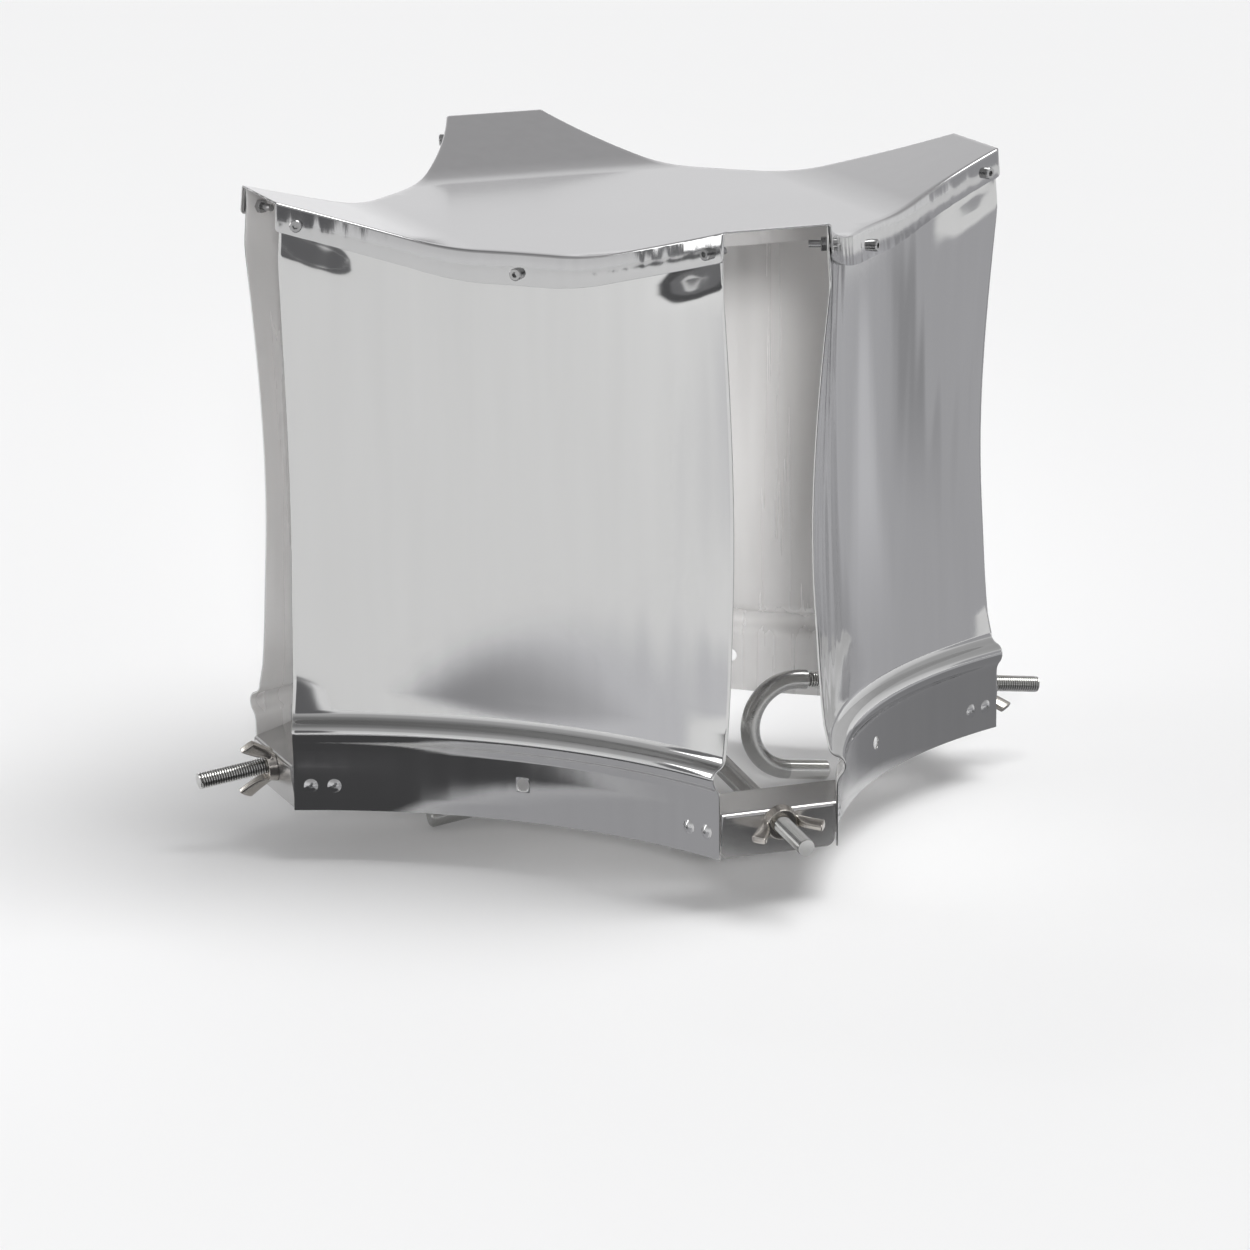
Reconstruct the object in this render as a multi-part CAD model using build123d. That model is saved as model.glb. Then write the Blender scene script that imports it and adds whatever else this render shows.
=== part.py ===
from build123d import *
import math
import os

# Chimney cowl: a turned-up cap on four hollow-faced panels, held on a round flue by four hook bolts.
# Millimetres, +Z up. The origin is on the cowl's axis, in the plane of the skirts' lower edges.
# The panels face -Y (front), +X (right), +Y (back) and -X (left). The bolts lie on the diagonals.

# Sheet metal
sheet = 1.0
lap_gap = 0.05

# Skirt, the lower band of each panel
skirt_half_chord = 130.0
skirt_corner_depth = 180.0
skirt_sagitta = 27.2
skirt_height = 34.5

# Bead, rolled outwards between the skirt and the wall
bead_out = 4.5
bead_crest_height = 46.0
wall_inset = 4.6
wall_foot_height = 57.5

# Wall, which is bent less at its waist than at its foot and top
waist_radius = 490.0
wall_above_cap = 6.5

# Cap: a flat middle and four arms that turn up towards the corners
cap_height = 322.5
cap_past_skirt = 3.0
cap_sagitta = 27.8
bend_start = 120.0
bend_radius = 110.0
arm_slope = 16.4
flange_depth = 18.0
flange_arm_depth = 15.5
flange_corner_radius = 4.0
flange_corner_room = 0.3
flange_taper = 4.0

# Fixing hole in the middle of each skirt
side_hole_diameter = 7.5
side_hole_height = 21.7

# Blind rivets, two at each end of a skirt
rivet_diameter = 4.0
rivet_head_diameter = 8.0
rivet_head_height = 1.5
rivet_blind_diameter = 6.2
rivet_blind_length = 3.5
rivet_height = 14.5
rivet_end_distance = 9.8
rivet_pitch = 13.3
mandrel_hole_diameter = 2.2
mandrel_hole_depth = 0.9

# Socket screws and nuts that hold the cap's flange to a wall
screw_diameter = 4.0
screw_head_diameter = 7.0
screw_head_height = 4.0
screw_length = 12.0
screw_socket_width = 3.0
screw_socket_depth = 2.0
nut_width = 7.0
nut_height = 3.2
screw_drop = 11.5
screw_end_distance = 11.0
end_screw_drop = 10.0

# Hook bolts. Radii are taken from the cowl's axis, out of the skirt's corner or into the cowl
bolt_diameter = 9.8
shank_diameter = 11.5
bolt_slope = 7.25
bolt_end_past_corner = 38.5
bolt_chamfer = 1.2
hook_radius = 27.5
hook_start_inside_corner = 118.2
hook_tip_length = 26.0
thread_starts_inside_corner = [29.2, 112.2, 112.2, 29.2]
bolt_shifts = [0.0, 5.0, 3.0, 7.0]

# Corner brackets
bracket_sheet = 1.5
bracket_clearance = 0.2
bracket_past_corner = 0.8
bolt_hole_height = 18.4
bolt_hole_clearance = 0.3
bracket_above_bolt = 7.5
bracket_below_bolt = 18.4
bracket_shelf_depth = 29.0
bracket_tab_length = 32.0
bracket_tab_bottom = 8.0
bracket_tab_top = 25.0
bracket_corner_radius = 5.0
bracket_fold_radius = 2.4

# Wing nuts
wing_nut_clearance = 0.05
wing_nut_seat_gap = 0.05
wing_hub_diameter = 20.0
wing_hub_top_diameter = 16.0
wing_hub_height = 5.0
wing_foot_height = 0.8
wing_foot_reach = 10.5
wing_reach = 23.0
wing_tip_height = 13.8
wing_shoulder_reach = 15.6
wing_shoulder_height = 19.2
wing_throat_reach = 7.5
wing_thickness = 4.4
wing_corner_radius = 1.5
wing_turns = [6.0, 35.0, -25.0, 60.0]

# Holes and chamfers of the fasteners
hole_clearance = 0.05
screw_head_chamfer = 0.5
nut_chamfer = 0.3

# Sizes worked out from the ones above


def arc_radius(half_chord, sagitta):
    return (half_chord ** 2 + sagitta ** 2) / (2 * sagitta)


skirt_radius = arc_radius(skirt_half_chord, skirt_sagitta)
skirt_half_angle = math.asin(skirt_half_chord / skirt_radius)
skirt_depth = skirt_corner_depth - skirt_sagitta
skirt_axis_y = -(skirt_depth + skirt_radius)
wall_depth = skirt_depth - wall_inset
foot_radius = skirt_radius + wall_inset
wall_half_length = foot_radius * skirt_half_angle
wall_lap = sheet + lap_gap
wall_straight_height = cap_height + wall_above_cap
cap_half_chord = skirt_half_chord + cap_past_skirt
cap_radius = arc_radius(cap_half_chord, cap_sagitta)
cap_depth = wall_depth + wall_lap
cap_axis_y = -(cap_depth + cap_radius)
cap_corner_depth = cap_depth + cap_sagitta
flange_half_length = cap_radius * math.asin(cap_half_chord / cap_radius)
tip_run = (cap_half_chord + cap_corner_depth) / math.sqrt(2)
skirt_corner_run = (skirt_half_chord + skirt_corner_depth) / math.sqrt(2)
bracket_face_radius = skirt_corner_run + bracket_past_corner
slope = math.radians(arm_slope)


def cap_rise(run):
    # Height of the cap's upper face above its flat middle, at a distance along a diagonal
    past = max(0.0, run - bend_start)
    bent = min(past, bend_radius * math.sin(slope))
    return (bend_radius - math.sqrt(bend_radius ** 2 - bent ** 2)
            + (past - bent) * math.tan(slope))


tip_height = cap_height + cap_rise(tip_run)
slab_reach = 1.2 * tip_run
wall_top_radius = cap_radius + wall_lap
wall_sections = [
    (wall_foot_height, foot_radius),
    ((wall_foot_height + wall_straight_height) / 2, waist_radius),
    (wall_straight_height, wall_top_radius),
]


def side_turn(side):
    return Rot(0, 0, 90 * side)


def corner_turn(corner):
    # Local +X becomes the diagonal; corner 0 is front right, then anticlockwise from above
    return Rot(0, 0, -45 + 90 * corner)


def wall_section(height, radius):
    # The wall cut level: a thin strip along an arc, of the same length at every height
    half_angle = wall_half_length / radius
    centre_y = -(wall_depth + radius)

    def at(r, angle):
        return Vector(r * math.sin(angle), centre_y + r * math.cos(angle), height)

    back = radius + sheet
    edges = [
        ThreePointArc(at(radius, -half_angle), at(radius, 0), at(radius, half_angle)),
        Line(at(radius, half_angle), at(back, half_angle)),
        ThreePointArc(at(back, half_angle), at(back, 0), at(back, -half_angle)),
        Line(at(back, -half_angle), at(radius, -half_angle)),
    ]
    return make_face(edges)


def arc_plane(axis_y, radius, along, height):
    # A plane that touches an upright round face on the front side and faces outwards
    angle = along / radius
    here = Vector(radius * math.sin(angle), axis_y + radius * math.cos(angle), height)
    across = Vector(math.cos(angle), -math.sin(angle), 0)
    return Plane(origin=here, x_dir=across, z_dir=across.cross(Vector(0, 0, 1)))


def skirt_plane(along, height):
    return arc_plane(skirt_axis_y, skirt_radius, along, height)


def flange_plane(along, height):
    return arc_plane(cap_axis_y, cap_radius, along, height)


def arc_block(axis_y, radius, low, high):
    # An upright round block about the axis of a front arc
    return Pos(0, axis_y, (low + high) / 2) * Cylinder(radius, high - low)


def cap_line(offset, arm_offset):
    # The cap's profile along a diagonal, offset square to its face by one amount at the flat
    # middle and by another on the arm
    radius = bend_radius - offset
    start = bend_start - (arm_offset - offset) / math.sin(slope)

    def on_bend(angle):
        rise = bend_radius - radius * math.cos(angle)
        return Vector(start + radius * math.sin(angle), cap_height + rise)

    past_bend = slab_reach - on_bend(slope).X
    end = on_bend(slope) + Vector(past_bend, past_bend * math.tan(slope))
    return Vector(0, cap_height + offset), on_bend(0), on_bend(slope / 2), on_bend(slope), end


def cap_slab(low, high, arm_low=None):
    # The space between two offsets of the cap's face, over the whole cowl
    a = cap_line(high, high)
    b = cap_line(low, low if arm_low is None else arm_low)
    outline = [
        Line(a[0], a[1]),
        ThreePointArc(a[1], a[2], a[3]),
        Line(a[3], a[4]),
        Line(a[4], b[4]),
        Line(b[4], b[3]),
        ThreePointArc(b[3], b[2], b[1]),
        Line(b[1], b[0]),
        Line(b[0], a[0]),
    ]
    diagonal = Plane.XZ * make_face(outline)
    ridge = extrude(diagonal, slab_reach, both=True)
    wedge_outline = Polyline((0, 0), (slab_reach, -slab_reach), (slab_reach, slab_reach), (0, 0))
    wedge = extrude(make_face(wedge_outline), 2 * tip_height)
    quarter = ridge & wedge
    slab = None
    for corner in range(4):
        turned = corner_turn(corner) * quarter
        slab = turned if slab is None else slab + turned
    return slab


rivet_places = []
for end in (-1, 1):
    for step_in in (0, 1):
        along = end * (skirt_radius * skirt_half_angle - rivet_end_distance - step_in * rivet_pitch)
        rivet_places.append((along, rivet_height))

end_screw_along = flange_half_length - screw_end_distance
end_screw_place = flange_plane(end_screw_along, 0).origin
end_screw_run = (end_screw_place.X - end_screw_place.Y) / math.sqrt(2)
end_screw_height = cap_height + cap_rise(end_screw_run) - end_screw_drop
screw_places = [
    (-end_screw_along, end_screw_height),
    (0.0, cap_height - screw_drop),
    (end_screw_along, end_screw_height),
]


def ogee(start, end):
    # Two equal arcs that leave both ends upright
    middle = (start + end) / 2
    return [
        TangentArc(start, middle, tangent=(0, 1)),
        TangentArc(end, middle, tangent=(0, -1)),
    ]


def bead_outline(outwards):
    # The bead's edge in a section through the skirt, from the skirt's foot to the wall's
    foot = Vector(-outwards, 0)
    skirt_top = Vector(-outwards, skirt_height)
    crest = Vector(-bead_out - outwards, bead_crest_height)
    wall_foot = Vector(wall_inset - outwards, wall_foot_height)
    return [Line(foot, skirt_top)] + ogee(skirt_top, crest) + ogee(crest, wall_foot), foot, wall_foot


def skirt_and_bead():
    face, foot, top = bead_outline(0)
    back, back_foot, back_top = bead_outline(-sheet)
    section = make_face(face + back + [Line(foot, back_foot), Line(top, back_top)])
    upright = Plane(origin=(0, -skirt_depth, 0), x_dir=(0, 1, 0), z_dir=(1, 0, 0))
    axis = Axis((0, skirt_axis_y, 0), (0, 0, 1))
    swept = revolve(upright * section, axis, revolution_arc=2 * math.degrees(skirt_half_angle))
    about = Pos(0, skirt_axis_y, 0)
    return about * Rot(0, 0, -math.degrees(skirt_half_angle)) * about.inverse() * swept


def fastener_hole(plane, diameter):
    reach = 4 * sheet + bracket_sheet
    return plane * Cylinder(diameter / 2 + hole_clearance, 2 * reach)


def make_panel():
    wall = loft([wall_section(height, radius) for height, radius in wall_sections])
    top_band = extrude(wall_section(wall_straight_height, wall_top_radius), 2 * flange_depth)
    panel = skirt_and_bead() + wall + top_band - cap_slab(-sheet - lap_gap, 4 * flange_depth)
    for along, height in rivet_places:
        panel -= fastener_hole(skirt_plane(along, height), rivet_diameter)
    for along, height in screw_places:
        panel -= fastener_hole(flange_plane(along, height), screw_diameter)
    panel -= skirt_plane(0, side_hole_height) * Cylinder(side_hole_diameter / 2, 6 * sheet)
    return panel


def flange_edge_height(x):
    # Height of the lower edge of a flange's sloping end, seen from the front
    y = cap_axis_y + math.sqrt(cap_radius ** 2 - x ** 2)
    run = (x - y) / math.sqrt(2)
    return cap_height + cap_rise(run) - flange_arm_depth / math.cos(slope)


def make_flange():
    # A strip along the front arc, under the cap's face, with slanted ends and rounded corners
    corner_x = cap_half_chord - flange_taper
    corner = Vector(corner_x, flange_edge_height(corner_x))
    inner_x = corner_x - flange_depth
    inner = Vector(inner_x, flange_edge_height(inner_x) - flange_corner_room)
    half_view = [(cap_half_chord, tip_height), (corner.X, corner.Y), (inner.X, inner.Y), (inner.X, 0)]
    other_half = [(-x, z) for x, z in reversed(half_view)]
    front_view = make_face(Polyline(*half_view, *other_half, close=True))
    low_corners = [v for v in front_view.vertices() if abs(abs(v.X) - corner_x) < flange_corner_room]
    front_view = fillet(low_corners, flange_corner_radius)
    ends = extrude(Plane.XZ * front_view, 2 * cap_corner_depth)
    back = arc_block(cap_axis_y, cap_radius + sheet, 0, 2 * cap_height)
    front = arc_block(cap_axis_y, cap_radius, 0, 2 * cap_height)
    hanging = cap_slab(-flange_depth, 0, -flange_arm_depth)
    return (back - front) & ends & hanging


def make_cap():
    half = cap_half_chord
    depth = cap_corner_depth
    outline = Polyline((-half, -depth), (half, -depth), (depth, -half), (depth, half), (half, depth),
                       (-half, depth), (-depth, half), (-depth, -half), close=True)
    cap = cap_slab(-sheet, 0) & extrude(make_face(outline), 2 * cap_height)
    for side in range(4):
        cap -= side_turn(side) * arc_block(cap_axis_y, cap_radius + sheet / 2, 0, 2 * cap_height)
    flange = make_flange()
    for along, height in screw_places:
        flange -= fastener_hole(flange_plane(along, height), screw_diameter)
    for side in range(4):
        cap += side_turn(side) * flange
    return cap


def make_rivet(plane):
    # A blind rivet: domed head outside, a set bulge inside, and the mandrel's hole
    grip = sheet + bracket_clearance + bracket_sheet
    dome_radius = arc_radius(rivet_head_diameter / 2, rivet_head_height)
    ball = Pos(0, 0, rivet_head_height - dome_radius) * Sphere(dome_radius)
    above = Pos(0, 0, dome_radius) * Box(4 * dome_radius, 4 * dome_radius, 2 * dome_radius)
    head = ball & above
    shank = Pos(0, 0, -grip / 2) * Cylinder(rivet_diameter / 2, grip + 2 * hole_clearance)
    bulge_height = -grip - hole_clearance - rivet_blind_length / 2
    bulge = Pos(0, 0, bulge_height) * Cylinder(rivet_blind_diameter / 2, rivet_blind_length)
    bulge = fillet(bulge.edges(), rivet_diameter / 4)
    hole_middle = rivet_head_height - mandrel_hole_depth / 2
    mandrel_hole = Pos(0, 0, hole_middle) * Cylinder(mandrel_hole_diameter / 2, mandrel_hole_depth)
    rivet = head + shank + bulge - mandrel_hole
    return plane * Pos(0, 0, hole_clearance) * rivet


def make_screw(plane):
    shank_middle = -screw_length / 2
    head = Pos(0, 0, screw_head_height / 2) * Cylinder(screw_head_diameter / 2, screw_head_height)
    head = chamfer(head.edges().group_by(Axis.Z)[-1], screw_head_chamfer)
    shank = Pos(0, 0, shank_middle) * Cylinder(screw_diameter / 2, screw_length)
    socket_floor = screw_head_height - screw_socket_depth
    hexagon = RegularPolygon(screw_socket_width / 2, 6, major_radius=False)
    socket = Pos(0, 0, socket_floor) * extrude(hexagon, screw_socket_depth)
    return plane * Pos(0, 0, lap_gap) * (head + shank - socket)


def make_nut(plane):
    seat = -(wall_lap + sheet + lap_gap)
    hexagon = RegularPolygon(nut_width / 2, 6, major_radius=False)
    blank = Pos(0, 0, seat) * extrude(hexagon, -nut_height)
    blank = chamfer(blank.edges().group_by(Axis.Z)[0], nut_chamfer)
    bore = Pos(0, 0, seat) * Cylinder(screw_diameter / 2 + hole_clearance, 3 * nut_height)
    return plane * (blank - bore)


# Frame of a bolt: its origin is where its line meets the bracket's face, +Z runs outwards along it
bolt_angle = math.radians(bolt_slope)
bolt_outwards = Vector(math.cos(bolt_angle), 0, -math.sin(bolt_angle))
bolt_frame = Plane(origin=(bracket_face_radius, 0, bolt_hole_height), x_dir=(0, 1, 0),
                   z_dir=bolt_outwards)
bolt_tail_length = (bolt_end_past_corner - bracket_past_corner) / math.cos(bolt_angle)
bolt_inner_length = (hook_start_inside_corner + bracket_past_corner) / math.cos(bolt_angle)


def make_hook_bolt(thread_start_inside_corner, shift):
    # The rod runs in along the bolt's line, turns down and back, and ends pointing outwards.
    # Its threaded length is thinner than its plain shank
    tail = Vector(0, 0, bolt_tail_length)
    shoulder_depth = (thread_start_inside_corner + bracket_past_corner) / math.cos(bolt_angle)
    shoulder = Vector(0, 0, -shoulder_depth)
    bend = Vector(0, 0, -bolt_inner_length)
    innermost = bend + Vector(0, -hook_radius, -hook_radius)
    turned = bend + Vector(0, -2 * hook_radius, 0)
    tip = turned + Vector(0, 0, hook_tip_length)
    path = Wire([Line(shoulder, bend).edge(), ThreePointArc(bend, innermost, turned).edge(),
                 Line(turned, tip).edge()])
    section = Plane(origin=shoulder, z_dir=(0, 0, -1)) * Circle(shank_diameter / 2)
    shank = sweep(section, path)
    end_faces = [f for f in shank.faces() if f.geom_type == GeomType.PLANE]
    shank = chamfer([e for f in end_faces for e in f.edges()], bolt_chamfer)
    threaded_length = bolt_tail_length + shoulder_depth
    thread = Cylinder(bolt_diameter / 2, threaded_length)
    thread = chamfer(thread.edges().group_by(Axis.Z)[-1], bolt_chamfer)
    thread = Pos(0, 0, bolt_tail_length - threaded_length / 2) * thread
    return bolt_frame * Pos(0, 0, shift) * (shank + thread)


def make_bracket():
    # An angle square to the bolt, with a tab at each end that follows the inside of the skirt
    tab_face = sheet + bracket_clearance
    centre_run = -skirt_axis_y / math.sqrt(2)
    inner_radius = skirt_radius + tab_face
    half_width = centre_run - math.sqrt(inner_radius ** 2 - (centre_run - bracket_face_radius) ** 2)
    height = bracket_above_bolt + bracket_below_bolt
    middle = (bracket_above_bolt - bracket_below_bolt) / 2
    plate = Pos(0, middle, -bracket_sheet / 2) * Box(2 * half_width, height, bracket_sheet)
    low_corners = plate.edges().filter_by(Axis.Z).group_by(Axis.Y)[0]
    plate = fillet(low_corners, bracket_corner_radius)
    shelf_height = bracket_above_bolt - bracket_sheet / 2
    plate += (Pos(0, shelf_height, -bracket_shelf_depth / 2)
              * Box(2 * half_width, bracket_sheet, bracket_shelf_depth))
    folds = plate.edges().filter_by(Axis.X)
    outer_fold = [edge for edge in folds
                  if abs(edge.center().Z) < 0.01 and abs(edge.center().Y - bracket_above_bolt) < 0.01]
    plate = fillet(outer_fold, bracket_fold_radius)
    inner_fold = [edge for edge in plate.edges().filter_by(Axis.X)
                  if abs(edge.center().Z + bracket_sheet) < 0.01
                  and abs(edge.center().Y - bracket_above_bolt + bracket_sheet) < 0.01]
    plate = fillet(inner_fold, bracket_fold_radius - bracket_sheet)
    # Behind the fold the shelf reaches out to the skirts
    wide_depth = bracket_shelf_depth - bracket_fold_radius
    plate += (Pos(0, shelf_height, -bracket_fold_radius - wide_depth / 2)
              * Box(4 * half_width, bracket_sheet, wide_depth))
    bracket = corner_turn(0) * (bolt_frame * plate)
    for side in (0, 1):
        skirt_block = arc_block(skirt_axis_y, skirt_radius + tab_face, -skirt_height, 2 * skirt_height)
        bracket -= side_turn(side) * skirt_block
    behind = Pos(0, 0, -bracket_tab_length / 2) * Box(6 * half_width, 4 * height, bracket_tab_length)
    behind = corner_turn(0) * (bolt_frame * behind)
    for side in (0, 1):
        outer = arc_block(skirt_axis_y, skirt_radius + tab_face, bracket_tab_bottom, bracket_tab_top)
        inner = arc_block(skirt_axis_y, skirt_radius + tab_face + bracket_sheet,
                          bracket_tab_bottom, bracket_tab_top)
        bracket += (side_turn(side) * (inner - outer)) & behind
    hole = Cylinder(bolt_diameter / 2 + bolt_hole_clearance, 4 * bracket_sheet)
    bracket -= corner_turn(0) * (bolt_frame * hole)
    for side, end in ((0, 1), (1, -1)):
        for along, height in rivet_places:
            if along * end > 0:
                plane = skirt_plane(along, height)
                bracket -= side_turn(side) * fastener_hole(plane, rivet_diameter)
    return corner_turn(0).inverse() * bracket


def make_wing_nut(turn):
    hub = Cone(wing_hub_diameter / 2, wing_hub_top_diameter / 2, wing_hub_height)
    nut = Pos(0, 0, wing_hub_height / 2) * hub
    for hand in (-1, 1):
        blade = Polyline((0, wing_foot_height), (hand * wing_foot_reach, wing_foot_height),
                         (hand * wing_reach, wing_tip_height),
                         (hand * wing_shoulder_reach, wing_shoulder_height),
                         (hand * wing_throat_reach, wing_hub_height), (0, wing_hub_height), close=True)
        wing = extrude(Plane.XZ * make_face(blade), wing_thickness / 2, both=True)
        tip_edges = wing.edges().filter_by(Axis.Y).sort_by(Axis.Z)[-2:]
        wing = fillet(tip_edges, wing_corner_radius)
        nut += wing
    nut -= Cylinder(bolt_diameter / 2 + wing_nut_clearance, 3 * wing_shoulder_height)
    seat = Pos(0, 0, wing_nut_seat_gap) * Rot(0, 0, turn)
    return bolt_frame * seat * nut


sides = ["front", "right", "back", "left"]
corners = ["front_right", "back_right", "back_left", "front_left"]


def main():
    os.makedirs("parts", exist_ok=True)
    panel = make_panel()
    rivets = [make_rivet(skirt_plane(along, height)) for along, height in rivet_places]
    screw_planes = [flange_plane(along, height) for along, height in screw_places]
    screws = [make_screw(plane) for plane in screw_planes]
    nuts = [make_nut(plane) for plane in screw_planes]
    export_step(make_cap(), "parts/cap.step")
    for side, name in enumerate(sides):
        turn = side_turn(side)
        export_step(turn * panel, f"parts/{name}_panel.step")
        export_step(turn * Compound(rivets), f"parts/{name}_rivets.step")
        export_step(turn * Compound(screws), f"parts/{name}_cap_screws.step")
        export_step(turn * Compound(nuts), f"parts/{name}_cap_nuts.step")
    bracket = make_bracket()
    for corner, name in enumerate(corners):
        turn = corner_turn(corner)
        hook_bolt = make_hook_bolt(thread_starts_inside_corner[corner], bolt_shifts[corner])
        export_step(turn * bracket, f"parts/{name}_bracket.step")
        export_step(turn * hook_bolt, f"parts/{name}_hook_bolt.step")
        export_step(turn * make_wing_nut(wing_turns[corner]), f"parts/{name}_wing_nut.step")


main()
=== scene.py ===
# %% [markdown]
# # A square chimney cowl in bright sheet steel
#
# This lesson dresses a chimney cowl. It keeps the rain out and lets the smoke leave at its four open
# corners. A turned-up cap sits on four hollow-faced panels, and four hook bolts with wing nuts hold the
# cowl in place.
#
# The solids come from a CAD model that is loaded as a fixed frame. Each new piece is made in metres at
# its real place in that frame, so nothing has to be fitted afterwards.

# %% Load the frame
import bmesh
import bpy
import math
from mathutils import Matrix, Vector


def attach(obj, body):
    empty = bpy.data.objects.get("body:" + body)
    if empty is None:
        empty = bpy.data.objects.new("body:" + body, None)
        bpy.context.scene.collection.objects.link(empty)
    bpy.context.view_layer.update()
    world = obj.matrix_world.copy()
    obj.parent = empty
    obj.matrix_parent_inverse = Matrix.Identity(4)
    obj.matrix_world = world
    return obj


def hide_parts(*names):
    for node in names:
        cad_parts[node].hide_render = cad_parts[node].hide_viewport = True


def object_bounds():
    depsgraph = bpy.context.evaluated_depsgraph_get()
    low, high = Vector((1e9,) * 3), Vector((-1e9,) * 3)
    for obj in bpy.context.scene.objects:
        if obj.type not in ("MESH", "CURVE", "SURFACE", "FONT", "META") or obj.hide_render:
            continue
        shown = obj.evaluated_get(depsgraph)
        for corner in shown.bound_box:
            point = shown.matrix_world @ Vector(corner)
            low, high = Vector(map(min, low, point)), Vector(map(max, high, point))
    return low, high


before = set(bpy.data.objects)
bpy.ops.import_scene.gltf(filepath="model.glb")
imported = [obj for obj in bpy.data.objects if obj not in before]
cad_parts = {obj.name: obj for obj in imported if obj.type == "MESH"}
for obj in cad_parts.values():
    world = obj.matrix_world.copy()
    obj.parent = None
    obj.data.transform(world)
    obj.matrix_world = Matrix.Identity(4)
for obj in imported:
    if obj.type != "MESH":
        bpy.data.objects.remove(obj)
cad_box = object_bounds()
mm = 0.001

# %% [markdown]
# ## Working by operator
#
# Most shapes here are made with the same operators that a person uses in edit mode. An operator acts on
# whatever is selected, and loading the frame leaves its nodes selected. So each step first clears the
# selection, and then picks points or faces by their place.

# %% Helpers for selecting
def clear_selection():
    if bpy.context.object and bpy.context.object.mode != "OBJECT":
        bpy.ops.object.mode_set(mode="OBJECT")
    bpy.ops.object.select_all(action="DESELECT")


def open_mesh(piece):
    clear_selection()
    piece.select_set(True)
    bpy.context.view_layer.objects.active = piece
    bpy.ops.object.mode_set(mode="EDIT")
    bpy.ops.mesh.select_mode(type="VERT")
    bpy.ops.mesh.select_all(action="DESELECT")


def close_mesh():
    bpy.ops.object.mode_set(mode="OBJECT")


def pick_points(piece, wanted):
    bpy.ops.mesh.select_all(action="DESELECT")
    net = bmesh.from_edit_mesh(piece.data)
    for point in net.verts:
        point.select_set(bool(wanted(point.co)))
    net.select_flush(True)
    bmesh.update_edit_mesh(piece.data)


def pick_faces(piece, wanted):
    bpy.ops.mesh.select_all(action="DESELECT")
    net = bmesh.from_edit_mesh(piece.data)
    net.normal_update()
    for face in net.faces:
        if wanted(face.calc_center_median(), face.normal):
            face.select_set(True)
    bmesh.update_edit_mesh(piece.data)


def lay_points(piece, place):
    net = bmesh.from_edit_mesh(piece.data)
    for point in net.verts:
        if point.select:
            point.co = place(point.co)
    bmesh.update_edit_mesh(piece.data)


# %% Helpers for finishing
def add_modifier(piece, name, kind, **settings):
    modifier = piece.modifiers.new(name, kind)
    for key, value in settings.items():
        setattr(modifier, key, value)
    clear_selection()
    piece.select_set(True)
    bpy.context.view_layer.objects.active = piece
    bpy.ops.object.modifier_apply(modifier=modifier.name)


def point_faces_outwards(piece):
    open_mesh(piece)
    bpy.ops.mesh.select_all(action="SELECT")
    bpy.ops.mesh.remove_doubles(threshold=0.00001)
    bpy.ops.mesh.normals_make_consistent(inside=False)
    close_mesh()


def shade_smooth(piece, degrees=35):
    clear_selection()
    piece.select_set(True)
    bpy.context.view_layer.objects.active = piece
    bpy.ops.object.shade_smooth_by_angle(angle=math.radians(degrees))


def settle(piece, matrix):
    clear_selection()
    piece.matrix_world = matrix @ piece.matrix_world
    piece.select_set(True)
    bpy.context.view_layer.objects.active = piece
    bpy.ops.object.transform_apply(location=True, rotation=True, scale=True)


def copy_piece(piece, name, matrix):
    twin = piece.copy()
    twin.data = piece.data.copy()
    twin.name = name
    bpy.context.scene.collection.objects.link(twin)
    settle(twin, matrix)
    return twin


def report_size(piece):
    size = [round(length / mm, 1) for length in piece.dimensions]
    print(piece.name, "is", size, "mm with", len(piece.data.polygons), "faces")


# %% [markdown]
# ## The sizes
#
# The driving sizes are the same as in the CAD source, in metres. The panels' skirts are arcs that
# curve in towards the cowl, so each side is narrowest in its middle and the corners stand out.

# %% Sizes of the sheet metal
sheet = 1.0 * mm
gap = 0.05 * mm
skirt_half_chord = 130.0 * mm
skirt_corner_depth = 180.0 * mm
skirt_sagitta = 27.2 * mm
skirt_height = 34.5 * mm
bead_out = 4.5 * mm
bead_crest_height = 46.0 * mm
wall_inset = 4.6 * mm
wall_foot_height = 57.5 * mm
waist_radius = 490.0 * mm
cap_height = 322.5 * mm
cap_half_chord = 133.0 * mm
cap_sagitta = 27.8 * mm
bend_start = 120.0 * mm
bend_radius = 110.0 * mm
arm_slope = math.radians(16.4)
flange_depth = 18.0 * mm
flange_arm_depth = 15.5 * mm


def arc_radius(half_chord, sagitta):
    return (half_chord ** 2 + sagitta ** 2) / (2 * sagitta)


skirt_radius = arc_radius(skirt_half_chord, skirt_sagitta)
skirt_half_angle = math.asin(skirt_half_chord / skirt_radius)
skirt_depth = skirt_corner_depth - skirt_sagitta
skirt_axis_y = -(skirt_depth + skirt_radius)
wall_depth = skirt_depth - wall_inset
foot_radius = skirt_radius + wall_inset
wall_half_length = foot_radius * skirt_half_angle
cap_radius = arc_radius(cap_half_chord, cap_sagitta)
cap_depth = wall_depth + sheet + gap
cap_axis_y = -(cap_depth + cap_radius)
cap_half_angle = math.asin(cap_half_chord / cap_radius)
print("skirt radius", round(skirt_radius / mm, 1), "mm, cap radius", round(cap_radius / mm, 1), "mm")

# %% Height of the cap's face
def cap_face(x, y):
    run = (abs(x) + abs(y)) / math.sqrt(2)
    past = max(0.0, run - bend_start)
    bent = min(past, bend_radius * math.sin(arm_slope))
    rise = bend_radius - math.sqrt(bend_radius ** 2 - bent ** 2) + (past - bent) * math.tan(arm_slope)
    return cap_height + rise


print("an arm's tip is", round(cap_face(cap_half_chord, cap_depth + cap_sagitta) / mm, 1), "mm up")

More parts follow.
